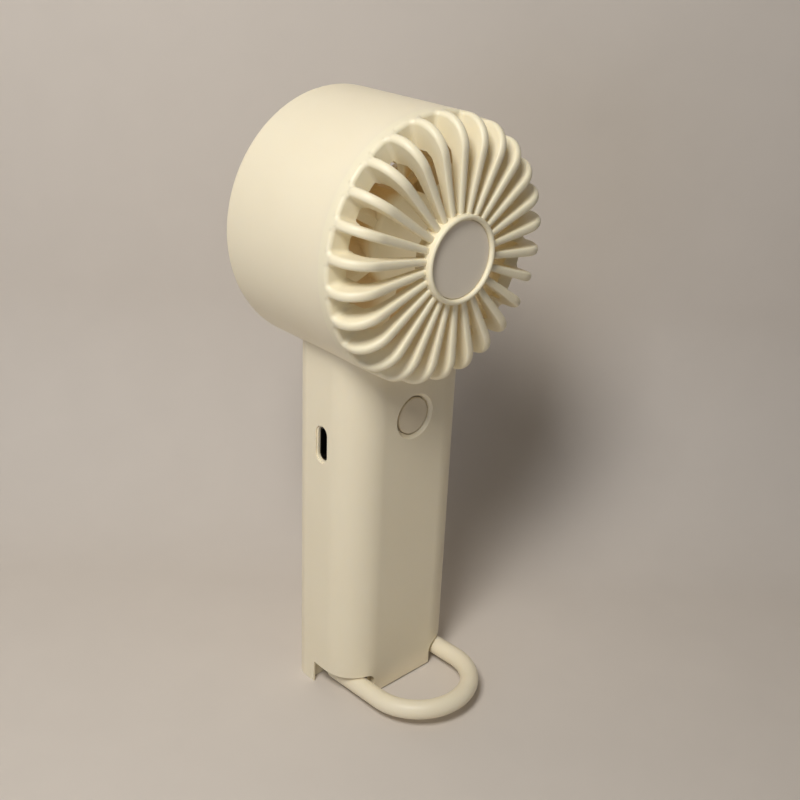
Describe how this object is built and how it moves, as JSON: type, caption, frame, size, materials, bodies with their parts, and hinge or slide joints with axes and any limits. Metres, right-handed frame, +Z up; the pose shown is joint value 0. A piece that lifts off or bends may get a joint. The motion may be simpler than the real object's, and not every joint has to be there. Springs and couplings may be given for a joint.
{
  "type": "handheld fan",
  "caption": "Handheld fan with a round head, a deep grille of radial fins, a straight handle with a round button and charging port, and a swinging foot loop.",
  "frame": {"origin": "on the floor under the middle of the handle, on the flat bottom of the base plug", "axes": "+Z up along the handle, -Y forward the way the grille blows, -X towards the side with the charging port"},
  "size_m": [0.063, 0.0568, 0.1559],
  "materials": {
    "ivory_shell": "satin moulded ivory plastic",
    "badge_disc": "matt greyed ivory plastic, bare",
    "duct_plastic": "moulded ivory plastic",
    "impeller_plastic": "smooth moulded ivory plastic",
    "button_plastic": "satin moulded ivory plastic",
    "frame_plastic": "moulded white plastic",
    "black_plastic": "moulded black plastic",
    "board_green": "lacquered glass-fibre board",
    "cell_wrap": "shrink-wrapped steel can",
    "lead_red": "soft insulated lead",
    "lead_black": "soft insulated lead",
    "steel": "plain bright steel",
    "core_iron": "dark laminated iron and sintered magnet",
    "copper": "enamelled copper wire",
    "bronze": "sintered bronze"
  },
  "bodies": {
    "housing": {"body_shell": "ivory_shell", "front_grille": "ivory_shell", "hub_badge": "badge_disc", "rear_grille": "ivory_shell", "air_duct": "duct_plastic", "shaft_bearings": "bronze", "stator_core": "core_iron", "stator_windings": "copper", "motor_board": "board_green", "tact_switch": "steel", "circuit_board": "board_green", "usb_socket": "steel", "usb_tongue": "black_plastic", "board_screws": "steel", "inner_frame": "frame_plastic", "battery_cell": "cell_wrap", "battery_leads": "lead_red", "motor_leads": "lead_black", "base_plug": "ivory_shell", "base_screws": "steel"},
    "impeller": {"impeller": "impeller_plastic", "rotor_shaft": "steel", "rotor_yoke": "steel", "magnet_ring": "core_iron", "shaft_clip": "steel"},
    "button": {"power_button": "button_plastic", "switch_plunger": "black_plastic"},
    "loop": {"foot_loop": "ivory_shell"}
  },
  "joints": [
    {"name": "impeller_spin", "type": "hinge", "parent": "housing", "child": "impeller", "pos_m": [0, 0, 0.1244], "axis": [0, -1, 0], "continuous": true},
    {"name": "button_press", "type": "slide", "parent": "housing", "child": "button", "axis": [0, 1, 0], "range_m": [0, 0.0005], "stiffness_N_per_m": 3000},
    {"name": "loop_swing", "type": "hinge", "parent": "housing", "child": "loop", "pos_m": [0, 0, 0.0031], "axis": [1, 0, 0], "range_deg": [0, 94]}
  ]
}
